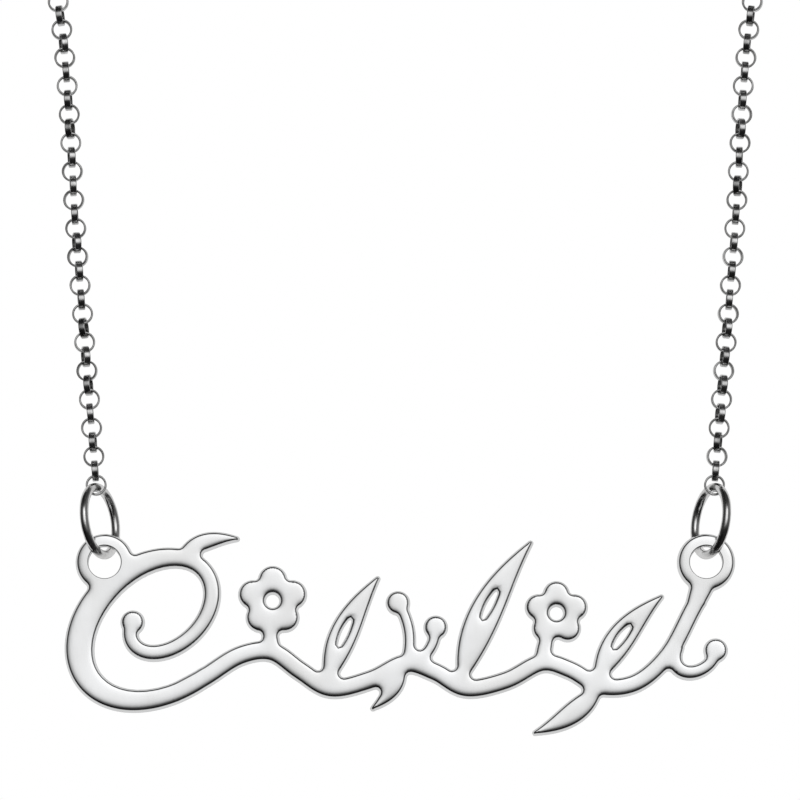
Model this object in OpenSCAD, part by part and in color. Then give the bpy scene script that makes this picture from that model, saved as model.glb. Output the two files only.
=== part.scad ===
// Nameplate necklace: a pierced scroll plate hung between two chains of rolo links, closed at the nape.
// It hangs as worn. X runs to the viewer's right, Y away from the viewer and Z up, from the nape of the neck.

/* [Plate] */
// Length of the scroll plate from end to end
plate_l = 45.7; // [40:0.1:52]
// Height of the scroll plate from its lowest leaf to its highest curl
plate_h = 13.9; // [12:0.1:17]
// Thickness of the plate
plate_t = 1.0; // [0.7:0.05:1.2]
// How far the scroll rises above the ear holes
plate_rise = 2.1; // [1.6:0.1:2.6]

/* [Scroll] */
// Width of the bold strokes
bold_w = 1.3; // [1:0.05:1.5]
// Width of the fine stalks
fine_w = 0.9; // [0.7:0.05:1]
// Diameter of the berries that end the curls and stalks
berry_d = 1.7; // [1.4:0.05:2]
// Diameter of the hole pierced in the middle of a blossom
blossom_eye_d = 0.9; // [0.6:0.05:1.2]
// Width of the slit pierced along a leaf as its vein
vein_w = 0.4; // [0.3:0.05:0.5]
// Radius at the tip of a leaf
tip_r = 0.2; // [0.1:0.05:0.25]
// Radius in the inner corners, where strokes part
corner_r = 0.25; // [0.1:0.05:0.4]

/* [Ears] */
// Distance between the two ear holes
ear_span = 40.8; // [38:0.1:43]
// Diameter of an ear
ear_d = 3.95; // [3.6:0.05:4.6]
// Diameter of the hole in an ear
ear_hole_d = 2.2; // [2.1:0.05:2.6]

/* [Jump rings] */
// Outer diameter of a jump ring
ring_d = 5.24; // [4.8:0.01:6.5]
// Diameter of its wire
ring_wire = 0.6; // [0.45:0.01:0.62]
// Angle that its plane is turned from straight across the plate, in degrees
ring_turn = 25; // [0:1:30]
// Angle that its top leans outward, in degrees
ring_lean = 6.5; // [0:0.5:9]
// Gap between its wire and the top of the ear hole
ear_gap = 0.27; // [0.2:0.01:0.4]
// How far outward of the ear hole's centre its wire passes
ring_aside = 0.07; // [0:0.01:0.1]
// How far below the middle of the end link its wire passes
ring_seat = 0.15; // [0.12:0.01:0.18]

/* [Chain] */
// Outer diameter of a rolo link
link_d = 1.43; // [1.4:0.01:1.8]
// Thickness of the band that a link is bent from
link_t = 0.12; // [0.1:0.01:0.13]
// Width of that band
link_w = 0.42; // [0.35:0.01:0.43]
// Gap between two links
link_clear = 0.12; // [0.11:0.005:0.14]
// Links modelled one by one on each side, from the end link up; a plain tube stands for the rest
front_links = 100; // [20:1:110]

/* [Clasp] */
// Outer diameter of the clasp's ring
clasp_d = 6; // [5:0.1:8]
// Diameter of its wire
clasp_wire = 1.2; // [0.9:0.05:1.5]
// Outer diameter of the small eye at each side of it
eye_d = 2.2; // [2:0.05:3]
// Diameter of the eye's wire
eye_wire = 0.5; // [0.4:0.05:0.6]

/* [Hidden] */
LEFT = -1;
RIGHT = 1;

// Steps along a curve, round a small circle and round an ear, ring or link
CURVE_STEPS = 12;
ROUND_STEPS = 16;
FINE_STEPS = 48;

// Steps on a turn of a volute of no size, and how many more a radius of the plate's whole height would take
TURN_STEPS = 24;
TURN_STEPS_MORE = 60;

// Lean of the scroll: sideways shift for each unit of height
SLANT = 0.35;
// Petals of a blossom, and how far out their centres lie as a share of its radius
PETALS = 5;
PETAL_REACH = 0.58;
// Where a leaf's belly lies: halfway at 1, nearer the foot below it
BELLY_PLACE = 0.8;
// Width of a vein's ends as a share of its widest
VEIN_END = 0.4;
// How far a cutting cylinder runs past the face it cuts
CUT_PAST = 1;

// Volutes: eye across the length and up the height, outer and inner radius as shares of the height,
// angle at which the stroke enters, turns (minus runs clockwise), stroke at entry and at the end in bold_w,
// and how much it swells between them, in bold_w too
VOLUTES = [
    [0.134, 0.58, 0.44, 0.12, -42, -1.35, 1.10, 0.85, 0.55],
    [0.938, 0.41, 0.13, 0.07, 172, 0.54, 0.90, 0.70, 0],
];
// How far along its stroke a swelling ends
SWELL_END = 0.54;

// Points that the main stem passes through, as shares of length and height
STEM = [
    [0.160, 0.209], [0.203, 0.286], [0.254, 0.390], [0.302, 0.410], [0.345, 0.315], [0.390, 0.231],
    [0.450, 0.275], [0.500, 0.352], [0.545, 0.309], [0.590, 0.231], [0.650, 0.270], [0.702, 0.355],
    [0.745, 0.320], [0.790, 0.240], [0.843, 0.260], [0.890, 0.400], [0.925, 0.613], [0.947, 0.745],
];

// Leaves: foot and tip as shares of length and height, bend and belly as shares of the leaf's own length,
// then where the pierced vein starts and ends along the leaf (0, 0 for a leaf without one)
LEAVES = [
    [0.383, 0.23, 0.459, 0.770, 0.06, 0.23, 0.36, 0.60],
    [0.580, 0.23, 0.686, 0.945, 0.06, 0.20, 0.45, 0.64],
    [0.780, 0.24, 0.880, 0.680, 0.07, 0.25, 0.38, 0.62],
    [0.793, 0.26, 0.692, 0.015, 0.08, 0.26, 0, 0],
    [0.160, 0.875, 0.250, 0.965, 0.10, 0.26, 0, 0],
    [0.500, 0.345, 0.452, 0.135, 0.08, 0.28, 0, 0],
];

// Berries: foot of the stalk and centre of the berry as shares of length and height, bend of the stalk
BERRIES = [
    [0.500, 0.345, 0.489, 0.65, -0.12],
    [0.507, 0.345, 0.545, 0.53, -0.16],
];

// Blossoms: foot of the stalk and centre of the blossom as shares of length and height, bend of the stalk,
// then the radius as a share of the height
BLOSSOMS = [
    [0.302, 0.43, 0.303, 0.66, 0.05, 0.175],
    [0.704, 0.37, 0.724, 0.60, 0.05, 0.160],
];

// Where each ear grows from the scroll, as shares of length and height, and how wide its root is in bold_w
EAR_ROOTS = [
    [0.100, 0.83, 1.2],
    [0.932, 0.66, 1.1],
];

// The chain's route round the neck, chosen by hand, for the right side: sideways, back, and up from the ears.
// It starts at the end link and ends at the clasp, which both follow from the sizes.
ROUTE = [
    [22.4, 0, 22], [23.8, 0, 39], [28, 3, 58], [36, 12, 77], [45, 28, 91],
    [49, 48, 99], [44, 69, 104], [30, 85, 107], [13, 93, 108],
];
NAPE_BACK = 94.5;
NAPE_UP = 108;
// Length of straight hanging chain before its links start to turn round the neck, and how far they turn
TURN_START = 36;
TURN_ANGLE = 175;
// Samples on each stretch of the route, sides of the tube, and how many link diameters apart its rings lie
ROUTE_STEPS = 12;
TUBE_SIDES = 8;
TUBE_RING_EVERY = 3;

// Jump ring: radius of the wire's centre line, its lowest and highest point beside and above the ear hole
ring_r = (ring_d - ring_wire) / 2;
ring_low = [ear_span / 2 + ring_aside, ear_hole_d / 2 - ear_gap - ring_wire / 2];
ring_up = [sin(ring_lean), cos(ring_lean)];
ring_mid = ring_low + ring_up * ring_r;
ring_top = ring_mid + ring_up * ring_r;

// Links: inner radius, how far a band's edges reach up a circle, distance between centres, and the end link
link_r = link_d / 2;
link_inner = link_r - link_t;
function band_depth(r) = sqrt(pow(r, 2) - pow(link_w / 2, 2));
link_pitch = band_depth(link_inner) + band_depth(link_inner - link_clear);
end_link = [ring_top[0], 0, ring_top[1] + ring_seat];

// Clasp: centre line of its ring, middle of its eyes and how far they reach
clasp_r = (clasp_d - clasp_wire) / 2;
eye_r = (eye_d - eye_wire) / 2;
eye_x = clasp_d / 2 + eye_r - eye_wire / 2;
eye_reach = eye_x + eye_d / 2;

// The chain's inner side at the nape, which the whole model is measured from
nape = [0, NAPE_BACK - clasp_wire / 2, NAPE_UP];

function across(u) = (u - 0.5) * plate_l;
function up(v) = v * plate_h - (plate_h - plate_rise);
function spot(p) = [across(p[0]), up(p[1])];
function mix(a, b, t) = a + (b - a) * t;
function left_of(a, b) = let (d = b - a) [-d[1], d[0]] / norm(d);
function unit(v) = v / norm(v);

// A smooth line through points, as steps on each stretch, with both ends reached
function through(p, i, t) = let (
    n = len(p) - 1, a = p[max(i - 1, 0)], b = p[i], c = p[i + 1], d = p[min(i + 2, n)]
) 0.5 * (2 * b + (c - a) * t + (2 * a - 5 * b + 4 * c - d) * t * t + (3 * b - a - 3 * c + d) * t * t * t);
function smooth_line(p, steps) = concat(
    [for (i = [0:len(p) - 2], s = [0:steps - 1]) through(p, i, s / steps)], [p[len(p) - 1]]
);

// A ribbon along a line of points, with its half width at each point
module ribbon(line, half) {
    n = len(line) - 1;
    side = [for (i = [0:n]) left_of(line[max(i - 1, 0)], line[min(i + 1, n)])];
    polygon(concat(
        [for (i = [0:n]) line[i] + side[i] * half[i]],
        [for (i = [n:-1:0]) line[i] - side[i] * half[i]]
    ));
}

// A ribbon with round ends whose width runs from w0 to w1, with a swelling on the way
module stroke(line, w0, w1, swell = 0) {
    n = len(line) - 1;
    ribbon(line, [for (i = [0:n])
        let (bulge = pow(sin(180 * min(i / n / SWELL_END, 1)), 2)) (mix(w0, w1, i / n) + swell * bulge) / 2]);
    translate(line[0]) circle(d = w0, $fn = ROUND_STEPS);
    translate(line[n]) circle(d = w1, $fn = ROUND_STEPS);
}

// A spiral stroke that narrows towards its berry; larger ones take more steps
module volute(row) {
    eye = spot([row[0], row[1]]);
    steps = ceil(abs(row[5]) * (TURN_STEPS + TURN_STEPS_MORE * row[2]));
    line = [for (i = [0:steps])
        let (t = i / steps, a = row[4] + row[5] * 360 * t, r = plate_h * mix(row[2], row[3], t))
        eye + r * [cos(a) + SLANT * sin(a), sin(a)]];
    stroke(line, bold_w * row[6], bold_w * row[7], bold_w * row[8]);
    translate(line[steps]) circle(d = berry_d, $fn = ROUND_STEPS);
}

module stem() {
    stroke(smooth_line([for (p = STEM) spot(p)], CURVE_STEPS / 2), 1.1 * bold_w, bold_w);
}

// The bent middle line of a leaf or stalk, from its foot at 0 to its tip at 1
function spine(row, t) = let (
    foot = spot([row[0], row[1]]), tip = spot([row[2], row[3]])
) mix(foot, tip, t) + left_of(foot, tip) * norm(tip - foot) * row[4] * 4 * t * (1 - t);
function spine_line(row) = [for (i = [0:CURVE_STEPS]) spine(row, i / CURVE_STEPS)];

module leaf(row) {
    belly = norm(spine(row, 1) - spine(row, 0)) * row[5] / 2;
    ribbon(spine_line(row), [for (i = [0:CURVE_STEPS])
        let (t = i / CURVE_STEPS) belly * sin(180 * pow(t, BELLY_PLACE)) + tip_r * t]);
    translate(spine(row, 1)) circle(r = tip_r, $fn = ROUND_STEPS);
}

// A slit along the leaf, widest halfway and blunt at both ends
module vein(row) {
    n = CURVE_STEPS / 2;
    ribbon([for (i = [0:n]) spine(row, mix(row[6], row[7], i / n))],
        [for (i = [0:n]) vein_w / 2 * mix(VEIN_END, 1, sin(180 * i / n))]);
}

module berry(row) {
    stroke(spine_line(row), fine_w, fine_w);
    translate(spine(row, 1)) circle(d = berry_d, $fn = ROUND_STEPS);
}

module blossom(row) {
    r = row[5] * plate_h;
    stroke(spine_line(row), bold_w, fine_w);
    translate(spine(row, 1)) {
        circle(r = r * PETAL_REACH, $fn = ROUND_STEPS);
        for (i = [0:PETALS - 1]) rotate(90 + i * 360 / PETALS)
            translate([r * PETAL_REACH, 0]) circle(r = r * (1 - PETAL_REACH), $fn = ROUND_STEPS);
    }
}

module ear(side) {
    root = side == LEFT ? EAR_ROOTS[0] : EAR_ROOTS[1];
    translate([side * ear_span / 2, 0]) circle(d = ear_d, $fn = FINE_STEPS);
    stroke([[side * ear_span / 2, 0], spot(root)], root[2] * bold_w, root[2] * bold_w);
}

module scroll_outline() {
    difference() {
        offset(r = -corner_r, $fn = ROUND_STEPS) offset(delta = corner_r) {
            for (row = VOLUTES) volute(row);
            stem();
            for (row = LEAVES) leaf(row);
            for (row = BERRIES) berry(row);
            for (row = BLOSSOMS) blossom(row);
            for (side = [LEFT, RIGHT]) ear(side);
        }
        for (row = LEAVES) if (row[7] > 0) vein(row);
        for (row = BLOSSOMS) translate(spine(row, 1)) circle(d = blossom_eye_d, $fn = ROUND_STEPS);
    }
}

// Moves what is measured from the middle between the ear holes to where it hangs from the nape
module hung() {
    translate(-nape) children();
}

module nameplate() {
    color([0.9, 0.9, 0.91]) hung() difference() {
        rotate([90, 0, 0]) linear_extrude(plate_t, center = true) scroll_outline();
        for (side = [LEFT, RIGHT]) translate([side * ear_span / 2, 0, 0]) rotate([90, 0, 0])
            cylinder(d = ear_hole_d, h = plate_t + 2 * CUT_PAST, center = true, $fn = FINE_STEPS);
    }
}

// A ring of round wire lying flat
module wire_loop(r, wire) {
    rotate_extrude($fn = FINE_STEPS) translate([r, 0]) circle(d = wire, $fn = ROUND_STEPS);
}

module jump_ring(side) {
    color([0.66, 0.66, 0.68]) hung()
        translate([side * ring_mid[0], 0, ring_mid[1]])
            rotate([0, side * ring_lean, 0]) rotate([0, 0, side * ring_turn])
                rotate([0, 90, 0]) wire_loop(ring_r, ring_wire);
}

// The route as a fine line, and the length along it at each of its points
route = smooth_line(
    concat([end_link], ROUTE, [[eye_reach + link_clear, NAPE_BACK, NAPE_UP]]), ROUTE_STEPS
);
function lengths(i = 0, sum = 0) = i == len(route) - 1 ? [sum]
    : concat([sum], lengths(i + 1, sum + norm(route[i + 1] - route[i])));
route_len = lengths();
chain_l = route_len[len(route) - 1];
function route_axis(k) = [for (i = [0:len(route) - 1]) [route_len[i], route[i][k]]];
ROUTE_X = route_axis(0);
ROUTE_Y = route_axis(1);
ROUTE_Z = route_axis(2);
function on_route(s) = [lookup(s, ROUTE_X), lookup(s, ROUTE_Y), lookup(s, ROUTE_Z)];

// Directions at a place on the route: along it, out from the neck, and across
function along(s) = unit(on_route(min(s + link_pitch, chain_l)) - on_route(max(s - link_pitch, 0)));
function outward(s) = let (
    a = TURN_ANGLE * max(0, s - TURN_START) / (chain_l - TURN_START), t = along(s),
    o = [sin(a), -cos(a), 0]
) unit(o - t * (o * t));

// Puts children drawn with Z along the route and X out from the neck at a place on the route
module at_route(side, s) {
    p = on_route(s);
    z = along(s);
    x = outward(s);
    y = cross(z, x);
    mirror([side == LEFT ? 1 : 0, 0, 0]) multmatrix([
        [x[0], y[0], z[0], p[0]], [x[1], y[1], z[1], p[1]], [x[2], y[2], z[2], p[2]], [0, 0, 0, 1]
    ]) children();
}

// A rolo link, a short slice of tube: even ones face outward and odd ones stand edge on
module link(side, i) {
    at_route(side, i * link_pitch) rotate([0, 0, i % 2 == 0 ? 0 : 90]) rotate([0, 90, 0]) difference() {
        cylinder(r = link_r, h = link_w, center = true, $fn = FINE_STEPS);
        cylinder(r = link_inner, h = link_w + 2 * CUT_PAST, center = true, $fn = FINE_STEPS);
    }
}

module end_link_piece(side) {
    color([0.5, 0.5, 0.52]) hung() link(side, 0);
}

module chain_front(side) {
    color([0.5, 0.5, 0.52]) hung() for (i = [1:front_links]) link(side, i);
}

// The rest of the chain as a plain tube of the links' own diameter, from the last link to the clasp
module chain_nape(side) {
    start = front_links * link_pitch + link_r + link_clear;
    rings = max(2, ceil((chain_l - start) / (TUBE_RING_EVERY * link_d)));
    points = [for (i = [0:rings], k = [0:TUBE_SIDES - 1])
        let (s = mix(start, chain_l, i / rings), a = (k + 0.5) * 360 / TUBE_SIDES,
             x = outward(s), y = cross(along(s), x))
        on_route(s) + link_r * (x * cos(a) + y * sin(a))];
    function corner(i, k) = i * TUBE_SIDES + (k % TUBE_SIDES);
    faces = concat(
        [[for (k = [0:TUBE_SIDES - 1]) corner(0, k)]],
        [for (i = [0:rings - 1], k = [0:TUBE_SIDES - 1])
            [corner(i, k + 1), corner(i, k), corner(i + 1, k), corner(i + 1, k + 1)]],
        [[for (k = [TUBE_SIDES - 1:-1:0]) corner(rings, k)]]
    );
    color([0.5, 0.5, 0.52]) hung() mirror([side == LEFT ? 1 : 0, 0, 0]) polyhedron(points, faces);
}

// The closed clasp: its ring with an eye for the chain soldered at each side.
// The ring is given a quarter turn, so that it doesn't start and end where an eye crosses it.
module clasp() {
    color([0.66, 0.66, 0.68]) hung() translate([0, NAPE_BACK, NAPE_UP]) rotate([90, 0, 0]) {
        rotate([0, 0, 90]) wire_loop(clasp_r, clasp_wire);
        for (side = [LEFT, RIGHT]) translate([side * eye_x, 0, 0]) wire_loop(eye_r, eye_wire);
    }
}

nameplate();
jump_ring(LEFT);  // jump_ring_left
jump_ring(RIGHT);  // jump_ring_right
end_link_piece(LEFT);  // end_link_left
end_link_piece(RIGHT);  // end_link_right
chain_front(LEFT);  // chain_left_front
chain_front(RIGHT);  // chain_right_front
chain_nape(LEFT);  // chain_left_nape
chain_nape(RIGHT);  // chain_right_nape
clasp();
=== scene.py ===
import math
import random

import bpy
import numpy as np
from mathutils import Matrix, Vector
from mathutils.geometry import delaunay_2d_cdt


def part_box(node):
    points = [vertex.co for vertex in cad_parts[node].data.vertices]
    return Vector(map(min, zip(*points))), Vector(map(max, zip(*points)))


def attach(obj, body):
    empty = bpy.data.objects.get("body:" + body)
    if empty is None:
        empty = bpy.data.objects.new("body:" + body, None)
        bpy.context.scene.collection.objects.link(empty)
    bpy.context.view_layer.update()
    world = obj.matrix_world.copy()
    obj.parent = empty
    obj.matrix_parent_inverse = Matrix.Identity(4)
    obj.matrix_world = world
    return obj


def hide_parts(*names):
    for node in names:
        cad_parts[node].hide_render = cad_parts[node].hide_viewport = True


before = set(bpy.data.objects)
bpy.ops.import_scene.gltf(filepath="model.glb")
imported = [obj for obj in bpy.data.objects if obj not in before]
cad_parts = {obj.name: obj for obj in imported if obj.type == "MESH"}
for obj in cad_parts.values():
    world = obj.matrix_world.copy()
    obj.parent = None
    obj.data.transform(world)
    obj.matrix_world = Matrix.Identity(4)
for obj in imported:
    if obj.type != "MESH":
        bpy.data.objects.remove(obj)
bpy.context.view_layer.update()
MM = 0.001

# The chain: its links as they are bent, how far they turn and nod in degrees and sway in millimetres, and
# the loop that they follow round the neck, in millimetres from the middle between the ear holes
LINK_D = 1.43 * MM
BAND_T = 0.14 * MM
BAND_W = 0.44 * MM
BAND_CORNER = 0.060 * MM
CORNER_STEPS = 4
LINK_PITCH = 0.982767 * MM
FRONT_LINKS = 100
LAST_LINK = 195
LINK_STEPS = 30
BEARING_POWER = 6
TWIST = 8.0
TWIST_MOST = 11.0
NOD = 1.0
NOD_MOST = 1.2
SWAY_MOST = 0.010
HANG_SEED = 1000
TONE_SEED = 77
ROUTE = [
    (22.4, 0, 22), (23.8, 0, 39), (28, 3, 58), (36, 12, 77), (45, 28, 91),
    (49, 48, 99), (44, 69, 104), (30, 85, 107), (13, 93, 108),
]
NAPE = np.array([0, 93.9, 108])
END_LINK = (20.9953, 0, 5.29017)
CHAIN_END = (4.70, 94.5, 108)
ROUTE_STEPS = 12
TURN_START = 36
TURN_ANGLE = 175

# The plate's outline: how finely it is drawn, in millimetres, which loops count as round and which of those
# as bored, by their area
OUTLINE_STEP = 0.115
EVEN_STEP = 0.05
LEAST_STEP = 0.012
ROUND_WITHIN = 0.02
HOLE_STEPS = 200
CORNER_CUTS = 3
BORED_AREA = 2.5

# How its edge is filed, in millimetres and degrees: the width of a steep chamfer and the radius of a small
# round on each kind of edge, then the depth of a polished face's soft crown and how far in it fades
CHAMFER_TILT = 78
FRONT_EDGE = (0.088, 0.142)
BACK_EDGE = (0.030, 0.080)
BORED_EDGE = (0.020, 0.055)
CROWN = 0.142
CROWN_FADE = 0.212
BACK_CROWN = 0.05

# Where a face has its points: rings within the round, rings in from it, and a grid inside those
ROUND_RINGS = 5
CROWN_RINGS = (0.05, 0.11, 0.19, 0.29)
INNER_STEP = 0.20
ROW_STEP = 0.87 * INNER_STEP
RING_KEPT = 0.985
EDGE_NORMAL_TILT = 82

# The wire rings: radius of the centre line, the wire, and how each hangs
RING_R = 2.32 * MM
RING_WIRE = 0.61 * MM
RING_SECTION = 20
RING_LEAN = 6.5
RING_TURN = 25
SEAM_AT = 205
SEAM_WIDE = 0.05 * MM
SEAM_DEEP = 0.10

# How many steps go round a ring, of a jump ring or of the clasp
RING_STEPS = 96

# The clasp's ring and eyes: radius of the centre line and wire, and how finely they are fused
CLASP_R = 2.4 * MM
CLASP_WIRE = 1.2 * MM
EYE_X = 3.6 * MM
EYE_R = 0.85 * MM
EYE_WIRE = 0.5 * MM
SOLDER = 0.25 * MM
CLASP_SECTION = 16
CLASP_VOXEL = 0.07 * MM
CLASP_PULLS = 3
SLOPE_STEP = 0.002 * MM

# The photograph's view: how much it takes in, from how far, from how far below, and where it looks
VIEW_WIDTH = 54.4 * MM
CAMERA_DISTANCE = 0.6
CAMERA_ELEVATION = -7.5
AIM_ABOVE_PLATE = 15.965 * MM

# The pale floor far below, and the soft lamp that lights it
FLOOR_Z = -0.45
FLOOR_REACH = 4
FLOOR_ROUGHNESS = 0.8
FLOOR_TONES = (0.86, 0.92)
FLOOR_CLOUDS = 3
LAMP_STRENGTH = 3.2
LAMP_WIDE = 50
LAMP_TILT = 12

# The tent's light. Each ramp runs from one angle to another, in degrees round to the right or up from
# straight before the plate, with the brightness at both
PANEL_LIFT = (-4, 28, 0.815, 1.10)
PANEL_LEFT = (-40, -1, 0, 1)
PANEL_RIGHT = (24, 36, 1, 0)
PANEL_RIGHT_HALF = (0, 20, 1, 1.15)
PANEL_FOOT = (-18, 6.5, 0, 1)
PANEL_TOP = (28, 44, 1, 0)
FLAG = (-32, 14, 0.014, 0.14)
FLAG_OVERHEAD = (30, 55, 1, 0.25)
FLAG_SIDES = (-50, 20, 0.35, 1.1)
# The backdrop's ramps go by how far backward a direction points, where 1 is straight back
BACKDROP = (0.22, 0.42, 0, 0.66)
BACKDROP_MIDDLE = (0.93, 0.99, 1, 0.5)


def smooth_line(points, steps):
    """A smooth line through points, with steps on each stretch."""
    p = np.array(points, float)
    last = len(p) - 1
    line = []
    for i in range(last):
        a, b, c, d = p[max(i - 1, 0)], p[i], p[i + 1], p[min(i + 2, last)]
        for t in np.arange(steps) / steps:
            line.append(0.5 * (2 * b + (c - a) * t + (2 * a - 5 * b + 4 * c - d) * t**2
                               + (3 * b - a - 3 * c + d) * t**3))
    return np.array(line + [p[last]])


class Strand:
    """The right-hand strand's route, in millimetres from the middle between the ear holes."""

    def __init__(self):
        self.line = smooth_line([END_LINK, *ROUTE, CHAIN_END], ROUTE_STEPS)
        steps = np.linalg.norm(np.diff(self.line, axis=0), axis=1)
        self.lengths = np.concatenate([[0], np.cumsum(steps)])
        self.length = self.lengths[-1]

    def point(self, s):
        return np.array([np.interp(s, self.lengths, self.line[:, k]) for k in range(3)])

    def along(self, s):
        reach = LINK_PITCH / MM
        d = self.point(min(s + reach, self.length)) - self.point(max(s - reach, 0))
        return d / np.linalg.norm(d)

    def outward(self, s):
        turn = math.radians(TURN_ANGLE * max(0, s - TURN_START) / (self.length - TURN_START))
        t = self.along(s)
        o = np.array([math.sin(turn), -math.cos(turn), 0])
        o -= t * (o @ t)
        return o / np.linalg.norm(o)


def turned(v, axis, degrees):
    """v turned about a unit axis."""
    a = math.radians(degrees)
    return v * math.cos(a) + np.cross(axis, v) * math.sin(a) + axis * (axis @ v) * (1 - math.cos(a))


def make_mesh(name, verts, faces, normals=None):
    """A smooth-shaded object from arrays, in metres."""
    mesh = bpy.data.meshes.new(name)
    mesh.from_pydata(verts.tolist(), [], faces if isinstance(faces, list) else faces.tolist())
    mesh.shade_smooth()
    if normals is not None:
        mesh.normals_split_custom_set_from_vertices(normals.tolist())
    piece = bpy.data.objects.new(name, mesh)
    bpy.context.scene.collection.objects.link(piece)
    return piece


def add_mask(piece, name, values):
    piece.data.attributes.new(name, "FLOAT", "POINT").data.foreach_set("value", values.astype(np.float32))


def band_section():
    """The band's section: how far each point lies outward and across the width, with its normal."""
    points = []
    for quarter, (sx, sy) in enumerate(((1, 1), (-1, 1), (-1, -1), (1, -1))):
        for step in range(CORNER_STEPS):
            a = math.radians(90 * (quarter + step / (CORNER_STEPS - 1)))
            points.append((sx * (BAND_T / 2 - BAND_CORNER) + BAND_CORNER * math.cos(a),
                           sy * (BAND_W / 2 - BAND_CORNER) + BAND_CORNER * math.sin(a),
                           math.cos(a), math.sin(a)))
    return np.array(points)


def ring_faces(around, section):
    """Quads of a closed ring of sections."""
    i, j = np.meshgrid(np.arange(around), np.arange(section), indexing="ij")
    i2, j2 = (i + 1) % around, (j + 1) % section
    quads = np.stack([i * section + j, i2 * section + j, i2 * section + j2, i * section + j2], -1)
    return quads.reshape(-1, 4)


SECTION = band_section()
BAND_R = (LINK_D - BAND_T) / 2


def link_ring(centre, axis, up):
    """Points, normals and mask of one link about axis: high outside and where neighbours hang and wear it, so
    its inside is painted shade.
    """
    side = np.cross(up, axis)
    a = np.arange(LINK_STEPS) * 2 * math.pi / LINK_STEPS
    radial = np.cos(a)[:, None] * side + np.sin(a)[:, None] * up
    out, wide, n_out, n_wide = SECTION.T
    verts = (centre + radial[:, None, :] * (BAND_R + out)[None, :, None]
             + axis * wide[None, :, None])
    normals = radial[:, None, :] * n_out[None, :, None] + axis * n_wide[None, :, None]
    bearing = np.abs(np.sin(a))[:, None] ** BEARING_POWER
    # the inside is kept low, so that the material paints it dark as shade; the bearing ends stay high, where
    # the link wears
    rub_and_shade = np.maximum(0.5 + 0.5 * n_out[None, :], bearing)
    return verts.reshape(-1, 3), normals.reshape(-1, 3), rub_and_shade.ravel()


def link_places(side, first, last):
    """Centre, axis and upward direction of links first to last, where the strand hangs."""
    strand = Strand()
    chance = random.Random(HANG_SEED * first + side)
    end = LINK_PITCH / MM * FRONT_LINKS
    # past the front stretch the pitch is let out a little, so that the last link goes through the clasp's eye
    slack = (strand.length - end) / (LAST_LINK - FRONT_LINKS)
    for i in range(first, last + 1):
        s = i * LINK_PITCH / MM if i <= FRONT_LINKS else end + (i - FRONT_LINKS) * slack
        centre, up, out = strand.point(s), strand.along(s), strand.outward(s)
        axis = out if i % 2 == 0 else np.cross(up, out)
        twist = max(-TWIST_MOST, min(TWIST_MOST, chance.gauss(0, TWIST)))
        nod = max(-NOD_MOST, min(NOD_MOST, chance.gauss(0, NOD)))
        sway = np.array([chance.uniform(-SWAY_MOST, SWAY_MOST), chance.uniform(-SWAY_MOST, SWAY_MOST), 0])
        # the end link swings about the middle of the next one, so both hang true
        if i <= 1:
            twist = nod = 0
            sway *= 0
        axis = turned(axis, up, twist)
        across = np.cross(up, axis)
        axis, up = turned(axis, across, nod), turned(up, across, nod)
        flip = np.array([side, 1, 1])
        yield ((centre + sway) * flip - NAPE) * MM, axis * flip, up * flip


def links(name, side, first, last, node, body):
    """A stretch of rolo links as one piece."""
    verts, normals, rub_and_shade, tone, faces = [], [], [], [], []
    chance = random.Random(TONE_SEED * first + side)
    quads = ring_faces(LINK_STEPS, len(SECTION))
    for centre, axis, up in link_places(side, first, last):
        v, n, r = link_ring(centre, axis, up)
        faces.append(quads + sum(map(len, verts)))
        verts.append(v)
        normals.append(n)
        rub_and_shade.append(r)
        tone.append(np.full(len(v), chance.random()))
    piece = make_mesh(name, np.concatenate(verts), np.concatenate(faces), np.concatenate(normals))
    # kept on the points: high outside and at the bearing ends, low inside, where shade is painted
    add_mask(piece, "rub_and_shade", np.concatenate(rub_and_shade))
    add_mask(piece, "tone", np.concatenate(tone))
    piece.data.materials.append(chain_silver)
    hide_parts(node)
    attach(piece, body)


def face_loops(node):
    """The loops round a flat node's front face, in millimetres across and up, the longest one first."""
    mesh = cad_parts[node].data
    co = np.array([v.co for v in mesh.vertices]) / MM
    front = np.abs(co[:, 1] - co[:, 1].min()) < 1e-4
    used = {}
    for face in mesh.polygons:
        if all(front[v] for v in face.vertices):
            for a, b in face.edge_keys:
                used[a, b] = used.get((a, b), 0) + 1
    near = {}
    for (a, b), times in used.items():
        if times == 1:
            near.setdefault(a, []).append(b)
            near.setdefault(b, []).append(a)
    loops = []
    while near:
        start = next(iter(near))
        loop, here = [], start
        while here in near:
            loop.append(co[here][[0, 2]])
            ahead = near.pop(here)
            here = next((v for v in ahead if v in near), start)
        loops.append(np.array(loop))
    return sorted(loops, key=lambda l: -abs(area(l)))


def area(loop):
    x, y = loop.T
    return 0.5 * float(np.sum(x * np.roll(y, -1) - np.roll(x, -1) * y))


def evened(loop, step):
    """A loop with points at even distances."""
    closed = np.vstack([loop, loop[:1]])
    at = np.concatenate([[0], np.cumsum(np.linalg.norm(np.diff(closed, axis=0), axis=1))])
    count = max(12, round(at[-1] / step))
    s = np.arange(count) * at[-1] / count
    return np.stack([np.interp(s, at, closed[:, k]) for k in range(2)], 1)


def is_round(loop):
    even = evened(loop, EVEN_STEP)
    r = np.linalg.norm(even - even.mean(0), axis=1)
    return r.std() < ROUND_WITHIN * r.mean()


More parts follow.
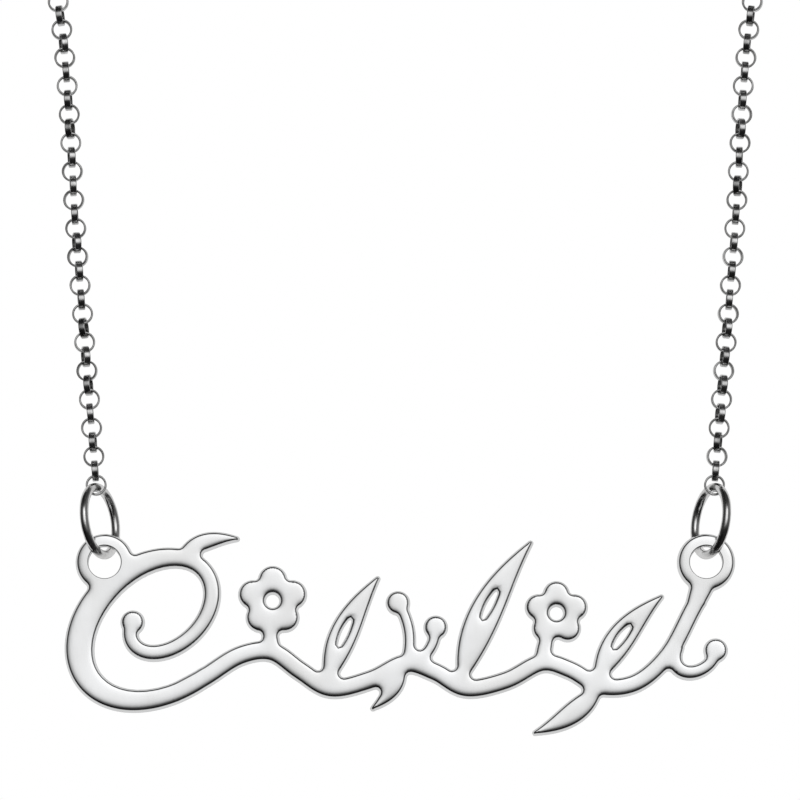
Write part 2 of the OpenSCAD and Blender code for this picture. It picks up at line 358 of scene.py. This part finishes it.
def softened(loop):
    """A loop with its corners cut a few times, so that no facet shows, or a true circle where it is one."""
    if is_round(loop):
        centre = evened(loop, EVEN_STEP).mean(0)
        a = np.arange(HOLE_STEPS) * 2 * math.pi / HOLE_STEPS * math.copysign(1, area(loop))
        reach = np.linalg.norm(loop - centre, axis=1).mean()
        return centre + reach * np.stack([np.cos(a), np.sin(a)], 1)
    kept = [loop[0]]
    for p in loop[1:]:
        if np.linalg.norm(p - kept[-1]) > LEAST_STEP:
            kept.append(p)
    loop = np.array(kept)
    for _ in range(CORNER_CUTS):
        ahead = np.roll(loop, -1, axis=0)
        loop = np.stack([0.75 * loop + 0.25 * ahead, 0.25 * loop + 0.75 * ahead], 1).reshape(-1, 2)
    return loop


def near(points, starts, ends, reach=3.0, cell=1.5):
    """For each cell of points, their numbers and the segments within reach of them."""
    middle = (starts + ends) / 2
    keys = np.floor(points / cell).astype(int)
    for key in np.unique(keys, axis=0):
        chosen = np.nonzero((keys == key).all(1))[0]
        close = (np.abs(middle - (key + 0.5) * cell) < cell / 2 + reach).all(1)
        yield chosen, np.nonzero(close)[0]


def edge_distance(points, starts, ends):
    """Distance to the outline, the direction away from it and the number of the nearest segment."""
    gap, away, nearest = np.zeros(len(points)), np.zeros((len(points), 2)), np.zeros(len(points), int)
    for chosen, numbers in near(points, starts, ends):
        a, b = starts[numbers], ends[numbers]
        d = b - a
        r = points[chosen][:, None] - a
        t = np.clip((r * d).sum(-1) / (d**2).sum(1), 0, 1)
        r -= t[..., None] * d
        first = (r**2).sum(-1).argmin(1)
        r = r[np.arange(len(chosen)), first]
        gap[chosen] = np.linalg.norm(r, axis=1)
        away[chosen] = r / np.maximum(gap[chosen], 1e-9)[:, None]
        nearest[chosen] = numbers[first]
    return gap, away, nearest


def soft_distance(points, starts, ends):
    """A distance with no ridge along a stroke's middle, and its slope: the outline's inverse cube field."""
    out, slope = np.zeros(len(points)), np.zeros((len(points), 2))
    for chosen, numbers in near(points, starts, ends):
        a, b = starts[numbers], ends[numbers]
        d = b - a
        length = np.linalg.norm(d, axis=1)
        d = d / length[:, None]
        r = points[chosen][:, None] - a
        s = (r * d).sum(-1)
        side = r - s[..., None] * d
        h2 = np.maximum((side**2).sum(-1), 1e-9)
        near_end, far_end = np.sqrt(s**2 + h2), np.sqrt((s - length)**2 + h2)
        part = (s / near_end - (s - length) / far_end) / h2
        total = part.sum(1)
        lengthwise = near_end**-3 - far_end**-3
        sideways = -(2 * part + s / near_end**3 - (s - length) / far_end**3) / h2
        pull = (lengthwise[..., None] * d + sideways[..., None] * side).sum(1)
        out[chosen] = np.sqrt(2 / total)
        slope[chosen] = -0.5 * math.sqrt(2) * total[:, None]**-1.5 * pull
    return out, slope


def inside(points, loops):
    """Which points lie on the metal."""
    a = np.concatenate(loops)
    b = np.concatenate([np.roll(loop, -1, axis=0) for loop in loops])
    low, high = np.minimum(a[:, 1], b[:, 1]), np.maximum(a[:, 1], b[:, 1])
    odd = np.zeros(len(points), bool)
    for chosen in np.array_split(np.argsort(points[:, 1]), max(1, len(points) // 400)):
        p = points[chosen]
        level = (low <= p[:, 1].max()) & (high >= p[:, 1].min())
        c, d = a[level], b[level]
        spans = (c[:, 1] > p[:, None, 1]) != (d[:, 1] > p[:, None, 1])
        rise = np.where(d[:, 1] == c[:, 1], 1, d[:, 1] - c[:, 1])
        cross = c[:, 0] + (p[:, None, 1] - c[:, 1]) * (d[:, 0] - c[:, 0]) / rise
        odd[chosen] = (spans & (p[:, None, 0] < cross)).sum(1) % 2 == 1
    return odd


def thinned(points, gap):
    """Points with none closer than gap to one before it."""
    cells, kept = {}, []
    for p in points:
        key = (int(p[0] // gap), int(p[1] // gap))
        close = [q for i in (-1, 0, 1) for j in (-1, 0, 1) for q in cells.get((key[0] + i, key[1] + j), ())]
        if all((p[0] - q[0])**2 + (p[1] - q[1])**2 > gap * gap for q in close):
            cells.setdefault(key, []).append(p)
            kept.append(p)
    return np.array(kept)


def filed(gap, chamfer, r):
    """How far and how steeply a face falls away to the outline: a chamfer, then a round of radius r."""
    tilt = math.radians(CHAMFER_TILT)
    steep = math.tan(tilt)
    reach = chamfer + r * math.sin(tilt)
    lean = np.clip((reach - gap) / r, 0, math.sin(tilt))
    in_round = r * (1 - np.sqrt(1 - lean**2))
    drop = in_round + np.clip(chamfer - gap, 0, None) * steep
    return drop, np.where(gap < chamfer, steep, lean / np.sqrt(1 - lean**2))


def ring_distances(edge):
    """Distances from the outline at which a filed face needs points."""
    chamfer, r = edge
    tilt = math.radians(CHAMFER_TILT)
    reach = chamfer + r * math.sin(tilt)
    in_round = [reach - r * math.sin(tilt * (1 - k / ROUND_RINGS)) for k in range(ROUND_RINGS + 1)]
    return [chamfer / 2] + in_round + [reach + d for d in CROWN_RINGS]


def plate_face(loops, edge, crown, front):
    """One face of the plate: its points, normals and triangles, and the point numbers along its edge."""
    border = np.concatenate(loops)
    after = np.concatenate([np.roll(l, -1, axis=0) for l in loops])
    before = np.concatenate([np.roll(l, 1, axis=0) for l in loops])
    way = after - before
    inward = np.stack([-way[:, 1], way[:, 0]], 1) / np.linalg.norm(way, axis=1)[:, None]
    # the ear holes are bored, so their edges are crisper
    bored = np.concatenate([np.full(len(l), is_round(l) and area(l)**2 > BORED_AREA**2) for l in loops])
    cloud = [border]
    rings = ring_distances(edge)
    for d in rings:
        ring = border + inward * d
        ring = ring[edge_distance(ring, border, after)[0] > RING_KEPT * d]
        cloud.append(thinned(ring[inside(ring, loops)], 0.5 * OUTLINE_STEP + 0.15 * d))
    xs = np.arange(border[:, 0].min(), border[:, 0].max(), INNER_STEP)
    ys = np.arange(border[:, 1].min(), border[:, 1].max(), ROW_STEP)
    grid = np.array([(x + (j % 2) * INNER_STEP / 2, y) for j, y in enumerate(ys) for x in xs])
    grid = grid[inside(grid, loops)]
    cloud.append(grid[edge_distance(grid, border, after)[0] > rings[-1] + INNER_STEP / 2])
    flat = np.concatenate(cloud)

    pairs, count = [], 0
    for loop in loops:
        n = len(loop)
        pairs += [(count + i, count + (i + 1) % n) for i in range(n)]
        count += n
    made = delaunay_2d_cdt([Vector(p) for p in flat], pairs, [], 0, 1e-7)
    if len(made[0]) != len(flat):
        raise ValueError("the plate's outline crosses itself")
    points = np.array([tuple(v) for v in made[0]])
    tris = np.array(made[2])
    tris = tris[inside(points[tris].mean(1), loops)]
    place = np.empty(len(points), int)
    place[[ids[0] for ids in made[3]]] = np.arange(len(points))

    gap, away, nearest = edge_distance(points, border, after)
    soft, soft_slope = soft_distance(points, border[~bored], after[~bored])
    on_edge = place[:count]
    gap[on_edge], away[on_edge] = 0, inward
    soft[on_edge[~bored]], soft_slope[on_edge[~bored]] = 0, inward[~bored]
    nearest[on_edge] = np.arange(count)
    crisp = bored[nearest]
    drop, steep = filed(gap, np.where(crisp, BORED_EDGE[0], edge[0]), np.where(crisp, BORED_EDGE[1], edge[1]))
    bulge = crown * np.exp(-soft / CROWN_FADE)
    steep[on_edge] = math.tan(math.radians(EDGE_NORMAL_TILT))
    lean = -steep[:, None] * away - (bulge / CROWN_FADE)[:, None] * soft_slope
    down = drop + bulge - bulge.min()
    toward = -1 if front else 1
    normals = np.stack([lean[:, 0], np.full(len(points), toward), lean[:, 1]], 1)
    normals /= np.linalg.norm(normals, axis=1)[:, None]
    verts = np.stack([points[:, 0], -toward * down, points[:, 1]], 1)
    return verts, normals, tris if front else tris[:, ::-1], [(place[a], place[b]) for a, b in pairs]


def scroll_plate():
    """The pierced plate with filed edges, from the outline of its CAD node."""
    low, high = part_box("nameplate")
    loops = []
    for k, loop in enumerate(face_loops("nameplate")):
        loop = softened(loop)
        wanted = 1 if k == 0 else -1
        loops.append(evened(loop if area(loop) * wanted > 0 else loop[::-1], OUTLINE_STEP))
    verts, normals, faces, edge = plate_face(loops, FRONT_EDGE, CROWN, True)
    b_verts, b_normals, b_faces, b_edge = plate_face(loops, BACK_EDGE, BACK_CROWN, False)
    n = len(verts)
    wall = [[b + n, d, c, a + n] for (c, d), (a, b) in zip(edge, b_edge)]
    verts[:, 1] += low.y / MM
    b_verts[:, 1] += high.y / MM
    piece = make_mesh("scroll_plate", np.concatenate([verts, b_verts]) * MM,
                      faces.tolist() + (b_faces + n).tolist() + wall, np.concatenate([normals, b_normals]))
    piece.data.materials.append(plate_silver)
    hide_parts("nameplate")
    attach(piece, "nameplate")


def new_material(name):
    made = bpy.data.materials.new(name)
    made.use_nodes = True
    return made, made.node_tree.nodes, made.node_tree.links, made.node_tree.nodes["Principled BSDF"]


def mapped(nodes, wires, value, low, high, to_low, to_high):
    """A smooth ramp of a value."""
    ramp = nodes.new("ShaderNodeMapRange")
    ramp.interpolation_type = "SMOOTHSTEP"
    for socket, number in zip(("From Min", "From Max", "To Min", "To Max"), (low, high, to_low, to_high)):
        ramp.inputs[socket].default_value = number
    wires.new(value, ramp.inputs["Value"])
    return ramp.outputs["Result"]


def maths(nodes, wires, operation, a, b=None):
    node = nodes.new("ShaderNodeMath")
    node.operation = operation
    for k, value in enumerate((a, b)):
        if isinstance(value, (int, float)):
            node.inputs[k].default_value = value
        elif value is not None:
            wires.new(value, node.inputs[k])
    return node.outputs[0]


def new_group(name, takes, gives):
    """A node group with its named sockets: takes are (name, kind, default) and gives are (name, kind)."""
    group = bpy.data.node_groups.new(name, "ShaderNodeTree")
    for socket, kind, value in takes:
        group.interface.new_socket(socket, in_out="INPUT", socket_type=kind).default_value = value
    for socket, kind in gives:
        group.interface.new_socket(socket, in_out="OUTPUT", socket_type=kind)
    return group, group.nodes.new("NodeGroupInput"), group.nodes.new("NodeGroupOutput")


def noise(nodes, wires, spot, scale, detail, roughness=0.5):
    node = nodes.new("ShaderNodeTexNoise")
    node.inputs["Detail"].default_value = detail
    node.inputs["Roughness"].default_value = roughness
    wires.new(spot, node.inputs["Vector"])
    if isinstance(scale, (int, float)):
        node.inputs["Scale"].default_value = scale
    else:
        wires.new(scale, node.inputs["Scale"])
    return node.outputs[0]


def silver_tone():
    """Silver's colour: clouded a little by handling, and darker where painted shade and tone are fed in."""
    group, given, made = new_group("silver_tone", [
        ("Bright", "NodeSocketColor", (0.9, 0.9, 0.9, 1)), ("Dull", "NodeSocketColor", (0.5, 0.5, 0.5, 1)),
        ("Cloud Scale", "NodeSocketFloat", 200), ("Cloud", "NodeSocketFloat", 0.2),
        ("Painted Shade And Tone", "NodeSocketFloat", 0),
    ], [("Color", "NodeSocketColor")])
    nodes, wires = group.nodes, group.links
    spot = nodes.new("ShaderNodeTexCoord")
    cloud = noise(nodes, wires, spot.outputs["Object"], given.outputs["Cloud Scale"], 3, 0.6)
    cloud = mapped(nodes, wires, cloud, 0.35, 0.68, 0, 1)
    cloud = maths(nodes, wires, "MULTIPLY", cloud, given.outputs["Cloud"])
    # the handling clouds and the painted shade and tone together darken the silver
    dull = nodes.new("ShaderNodeMath")
    dull.operation, dull.use_clamp = "ADD", True
    wires.new(cloud, dull.inputs[0])
    wires.new(given.outputs["Painted Shade And Tone"], dull.inputs[1])
    mix = nodes.new("ShaderNodeMix")
    mix.data_type = "RGBA"
    in_use = {socket.name: socket for socket in mix.inputs if socket.enabled}
    wires.new(dull.outputs[0], in_use["Factor"])
    wires.new(given.outputs["Bright"], in_use["A"])
    wires.new(given.outputs["Dull"], in_use["B"])
    wires.new(next(socket for socket in mix.outputs if socket.enabled), made.inputs["Color"])
    return group


def polish_marks():
    """What a polishing mop leaves: fine hairlines, faint waves, and a sheen that varies with the lines."""
    group, given, made = new_group("polish_marks", [
        ("Line Scale", "NodeSocketFloat", 2000), ("Wave Scale", "NodeSocketFloat", 100),
        ("Line Depth", "NodeSocketFloat", 0.1), ("Wave Depth", "NodeSocketFloat", 1),
        ("Sheen Low", "NodeSocketFloat", 0.08), ("Sheen High", "NodeSocketFloat", 0.16),
    ], [("Height", "NodeSocketFloat"), ("Roughness", "NodeSocketFloat")])
    nodes, wires = group.nodes, group.links
    spot = nodes.new("ShaderNodeTexCoord")
    hairs = []
    for turn, stretch in ((0.6, 5), (-0.9, 3.5)):
        lay = nodes.new("ShaderNodeMapping")
        lay.inputs["Rotation"].default_value = (0, turn, 0)
        lay.inputs["Scale"].default_value = (1, 1, 1 / stretch)
        wires.new(spot.outputs["Object"], lay.inputs["Vector"])
        hairs.append(noise(nodes, wires, lay.outputs[0], given.outputs["Line Scale"], 2))
    hair = maths(nodes, wires, "MULTIPLY", maths(nodes, wires, "ADD", *hairs), given.outputs["Line Depth"])
    wave = noise(nodes, wires, spot.outputs["Object"], given.outputs["Wave Scale"], 1)
    wave = maths(nodes, wires, "MULTIPLY", wave, given.outputs["Wave Depth"])
    wires.new(maths(nodes, wires, "ADD", hair, wave), made.inputs["Height"])
    sheen = nodes.new("ShaderNodeMapRange")
    wires.new(hairs[0], sheen.inputs["Value"])
    sheen.inputs["From Min"].default_value, sheen.inputs["From Max"].default_value = 0.3, 0.7
    wires.new(given.outputs["Sheen Low"], sheen.inputs["To Min"])
    wires.new(given.outputs["Sheen High"], sheen.inputs["To Max"])
    wires.new(sheen.outputs["Result"], made.inputs["Roughness"])
    return group


TONE, MARKS = silver_tone(), polish_marks()


def silver(name, tone, marks, depth, shade_and_tone=None):
    """A silver: settings of the two groups, how deep a unit of height is, and where it takes painted shade
    and tone.
    """
    made, nodes, wires, bsdf = new_material(name)
    placed = []
    for group, values in ((TONE, tone), (MARKS, marks)):
        node = nodes.new("ShaderNodeGroup")
        node.node_tree = group
        for socket, value in values.items():
            node.inputs[socket].default_value = value
        placed.append(node)
    colour, finish = placed
    if shade_and_tone:
        wires.new(shade_and_tone(nodes, wires), colour.inputs["Painted Shade And Tone"])
    bump = nodes.new("ShaderNodeBump")
    bump.inputs["Distance"].default_value = depth
    wires.new(finish.outputs["Height"], bump.inputs["Height"])
    wires.new(colour.outputs["Color"], bsdf.inputs["Base Color"])
    wires.new(finish.outputs["Roughness"], bsdf.inputs["Roughness"])
    wires.new(bump.outputs["Normal"], bsdf.inputs["Normal"])
    bsdf.inputs["Metallic"].default_value = 1
    return made


def mask(nodes, wires, name, low, high, to_low, to_high):
    """A mask kept on the piece's points, as a smooth ramp."""
    node = nodes.new("ShaderNodeAttribute")
    node.attribute_name = name
    return mapped(nodes, wires, node.outputs["Fac"], low, high, to_low, to_high)


def link_shade_and_tone(nodes, wires):
    """Links are darkened by painted shade on their insides, away from their worn bearing ends, and each by
    its own random tone.
    """
    # painted shade: the links' insides darkened, except at their worn bearing ends
    painted_shade = mask(nodes, wires, "rub_and_shade", 0.2, 0.9, 0.75, 0)
    own = mask(nodes, wires, "tone", 0, 1, 0, 0.25)
    return maths(nodes, wires, "ADD", painted_shade, own)


plate_silver = silver(
    "polished_plate_silver",
    {"Bright": (0.955, 0.962, 0.970, 1), "Dull": (0.84, 0.84, 0.835, 1), "Cloud Scale": 160, "Cloud": 0.8},
    {"Line Scale": 6500, "Wave Scale": 90, "Line Depth": 0.025, "Wave Depth": 4,
     "Sheen Low": 0.08, "Sheen High": 0.14},
    0.05 * MM)
wire_silver = silver(
    "drawn_wire_silver",
    {"Bright": (0.95, 0.95, 0.95, 1), "Dull": (0.72, 0.71, 0.70, 1), "Cloud Scale": 900, "Cloud": 0.7},
    {"Line Scale": 7000, "Wave Scale": 700, "Line Depth": 0.03, "Wave Depth": 1.2,
     "Sheen Low": 0.13, "Sheen High": 0.24},
    0.02 * MM)
# the chain's Dull colour is mostly painted shade inside the links, with some handling clouds
chain_silver = silver(
    "rolo_chain_silver",
    {"Bright": (0.88, 0.88, 0.88, 1), "Dull": (0.30, 0.30, 0.295, 1), "Cloud Scale": 1500, "Cloud": 0.5},
    {"Line Scale": 9000, "Wave Scale": 1500, "Line Depth": 0.05, "Wave Depth": 1,
     "Sheen Low": 0.16, "Sheen High": 0.28},
    0.012 * MM, link_shade_and_tone)


def jump_ring(name, side, node):
    """A ring of drawn wire, closed with a fine seam."""
    low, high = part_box(node)
    centre = (np.array(low) + np.array(high)) / 2
    a = np.arange(RING_STEPS) * 2 * math.pi / RING_STEPS
    b = np.arange(RING_SECTION) * 2 * math.pi / RING_SECTION
    lean, turn = math.radians(side * RING_LEAN), math.radians(side * RING_TURN)
    up = np.array([math.sin(lean), 0, math.cos(lean)])
    out0 = np.array([math.cos(lean), 0, -math.sin(lean)])
    y = np.array([0, 1, 0])
    # the ring's plane turns about its own upright line
    forth = y * math.cos(turn) - out0 * math.sin(turn)
    axis = out0 * math.cos(turn) + y * math.sin(turn)
    radial = np.cos(a)[:, None] * forth + np.sin(a)[:, None] * up
    from_seam = (np.degrees(a) - SEAM_AT + 180) % 360 - 180
    wire = RING_WIRE / 2 * (1 - SEAM_DEEP * np.exp(-(np.radians(from_seam) * RING_R / SEAM_WIDE)**2))
    verts = (centre + radial[:, None, :] * (RING_R + wire[:, None] * np.cos(b))[..., None]
             + axis * (wire[:, None] * np.sin(b))[..., None])
    normals = radial[:, None, :] * np.cos(b)[None, :, None] + axis * np.sin(b)[None, :, None]
    piece = make_mesh(name, verts.reshape(-1, 3), ring_faces(RING_STEPS, RING_SECTION),
                      normals.reshape(-1, 3))
    piece.data.materials.append(wire_silver)
    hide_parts(node)
    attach(piece, "nameplate")


def clasp_field(points):
    """How far points lie from the clasp's metal: a ring and two eyes, filleted together with solder."""
    def ring(shift, r, wire):
        out = np.hypot(points[:, 0] - shift, points[:, 2]) - r
        return np.hypot(out, points[:, 1]) - wire / 2

    field = ring(0, CLASP_R, CLASP_WIRE)
    for shift in (-EYE_X, EYE_X):
        eye = ring(shift, EYE_R, EYE_WIRE)
        blend = np.clip(0.5 + 0.5 * (eye - field) / SOLDER, 0, 1)
        field = eye + (field - eye) * blend - SOLDER * blend * (1 - blend)
    return field


def clasp_slope(points):
    """The unit direction in which points leave the clasp's metal."""
    slope = np.stack([clasp_field(points + SLOPE_STEP * axis) - clasp_field(points - SLOPE_STEP * axis)
                      for axis in np.eye(3)], 1)
    return slope / np.linalg.norm(slope, axis=1)[:, None]


def closed_clasp():
    """The closed clasp, all one piece of metal."""
    low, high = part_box("clasp")
    centre = np.array((low + high) / 2)
    a = np.arange(RING_STEPS) * 2 * math.pi / RING_STEPS
    b = np.arange(CLASP_SECTION) * 2 * math.pi / CLASP_SECTION
    radial = np.stack([np.cos(a), np.zeros(RING_STEPS), np.sin(a)], 1)
    rough = []
    rings = ((0, CLASP_R, CLASP_WIRE), (-EYE_X, EYE_R, EYE_WIRE), (EYE_X, EYE_R, EYE_WIRE))
    for shift, r, wire in rings:
        verts = (radial[:, None] * (r + wire / 2 * np.cos(b))[None, :, None]
                 + np.array([0, 1, 0]) * (wire / 2 * np.sin(b))[None, :, None])
        rough.append(verts.reshape(-1, 3) + (shift, 0, 0))
    quads = ring_faces(RING_STEPS, CLASP_SECTION)
    faces = np.concatenate([quads + k * RING_STEPS * CLASP_SECTION for k in range(len(rings))])
    draft = make_mesh("clasp_draft", np.concatenate(rough), faces)
    draft.modifiers.new("fused", "REMESH").voxel_size = CLASP_VOXEL
    fused = draft.evaluated_get(bpy.context.evaluated_depsgraph_get()).to_mesh()
    verts = np.array([v.co for v in fused.vertices])
    faces = [list(face.vertices) for face in fused.polygons]
    bpy.data.objects.remove(draft)
    # the remeshed points are drawn onto the true surface
    for _ in range(CLASP_PULLS):
        verts -= clasp_field(verts)[:, None] * clasp_slope(verts)
    piece = make_mesh("closed_clasp", verts + centre, faces, clasp_slope(verts))
    piece.data.materials.append(wire_silver)
    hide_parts("clasp")
    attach(piece, "chain")


def by_angle(nodes, wires, angle, ramp):
    """One of the tent's ramps, over an angle."""
    start, end, at_start, at_end = ramp
    return mapped(nodes, wires, angle, math.radians(start), math.radians(end), at_start, at_end)


def light_tent():
    """White tent: a bright panel before the plate, dark flags round the panel, and a bright backdrop."""
    world = bpy.data.worlds.new("light_tent")
    bpy.context.scene.world = world
    world.use_nodes = True
    nodes, wires = world.node_tree.nodes, world.node_tree.links
    nodes.clear()
    spot = nodes.new("ShaderNodeTexCoord")
    apart = nodes.new("ShaderNodeSeparateXYZ")
    wires.new(spot.outputs["Generated"], apart.inputs[0])
    x, y, z = apart.outputs
    forward = maths(nodes, wires, "MULTIPLY", y, -1)
    turn = maths(nodes, wires, "ARCTAN2", x, forward)
    height = maths(nodes, wires, "ARCSINE", z)
    panel = by_angle(nodes, wires, height, PANEL_LIFT)
    for angle, ramp in ((turn, PANEL_LEFT), (turn, PANEL_RIGHT), (turn, PANEL_RIGHT_HALF),
                        (height, PANEL_FOOT), (height, PANEL_TOP)):
        panel = maths(nodes, wires, "MULTIPLY", panel, by_angle(nodes, wires, angle, ramp))
    backdrop = maths(nodes, wires, "MULTIPLY", mapped(nodes, wires, y, *BACKDROP),
                     mapped(nodes, wires, y, *BACKDROP_MIDDLE))
    flag = by_angle(nodes, wires, height, FLAG)
    for angle, ramp in ((height, FLAG_OVERHEAD), (turn, FLAG_SIDES)):
        flag = maths(nodes, wires, "MULTIPLY", flag, by_angle(nodes, wires, angle, ramp))
    light = maths(nodes, wires, "MAXIMUM", maths(nodes, wires, "MAXIMUM", panel, backdrop), flag)
    shown = nodes.new("ShaderNodeLightPath")
    seen = nodes.new("ShaderNodeMix")
    seen.data_type = "FLOAT"
    wires.new(shown.outputs["Is Camera Ray"], seen.inputs["Factor"])
    wires.new(light, seen.inputs["A"])
    seen.inputs["B"].default_value = 1.0
    glow = nodes.new("ShaderNodeBackground")
    glow.inputs["Color"].default_value = (1, 1, 1, 1)
    wires.new(seen.outputs["Result"], glow.inputs["Strength"])
    end = nodes.new("ShaderNodeOutputWorld")
    wires.new(glow.outputs[0], end.inputs["Surface"])


def studio():
    """Camera, floor and the lamp that lights the floor."""
    low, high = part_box("nameplate")
    aim = (low + high) / 2 + Vector((0, 0, AIM_ABOVE_PLATE))
    tilt = math.radians(CAMERA_ELEVATION)
    back = Vector((0, -math.cos(tilt), math.sin(tilt)))
    data = bpy.data.cameras.new("camera")
    data.lens = data.sensor_width * CAMERA_DISTANCE / VIEW_WIDTH
    data.clip_start, data.clip_end = 0.01, 50
    camera = bpy.data.objects.new("camera", data)
    camera.location = aim + back * CAMERA_DISTANCE
    camera.rotation_mode = "QUATERNION"
    camera.rotation_quaternion = (-back).to_track_quat("-Z", "Y")
    bpy.context.scene.collection.objects.link(camera)
    bpy.context.scene.camera = camera
    bpy.context.scene.view_settings.view_transform = "Standard"

    corners = FLOOR_REACH * np.array([(-1, -1, 0), (1, -1, 0), (1, 1, 0), (-1, 1, 0)])
    floor = make_mesh("floor", corners + (0, 0, FLOOR_Z), [[0, 1, 2, 3]])
    made, nodes, wires, bsdf = new_material("pale_floor")
    bsdf.inputs["Roughness"].default_value = FLOOR_ROUGHNESS
    spot = nodes.new("ShaderNodeTexCoord")
    shade = nodes.new("ShaderNodeValToRGB")
    for element, tone in zip(shade.color_ramp.elements, FLOOR_TONES):
        element.color = (tone, tone, tone, 1)
    wires.new(noise(nodes, wires, spot.outputs["Object"], FLOOR_CLOUDS, 4), shade.inputs["Fac"])
    wires.new(shade.outputs["Color"], bsdf.inputs["Base Color"])
    floor.data.materials.append(made)
    floor.visible_glossy = False
    lamp = bpy.data.lights.new("overhead", "SUN")
    lamp.energy = LAMP_STRENGTH
    lamp.angle = math.radians(LAMP_WIDE)
    overhead = bpy.data.objects.new("overhead", lamp)
    overhead.rotation_euler = (math.radians(LAMP_TILT), 0, 0)
    overhead.visible_glossy = False
    bpy.context.scene.collection.objects.link(overhead)


studio()
light_tent()
scroll_plate()
jump_ring("wire_ring_left", -1, "jump_ring_left")
jump_ring("wire_ring_right", 1, "jump_ring_right")
for side, word in ((-1, "left"), (1, "right")):
    links(f"end_rolo_{word}", side, 0, 0, f"end_link_{word}", "nameplate")
    links(f"rolo_{word}_front", side, 1, FRONT_LINKS, f"chain_{word}_front", "chain")
    links(f"rolo_{word}_nape", side, FRONT_LINKS + 1, LAST_LINK, f"chain_{word}_nape", "chain")
closed_clasp()
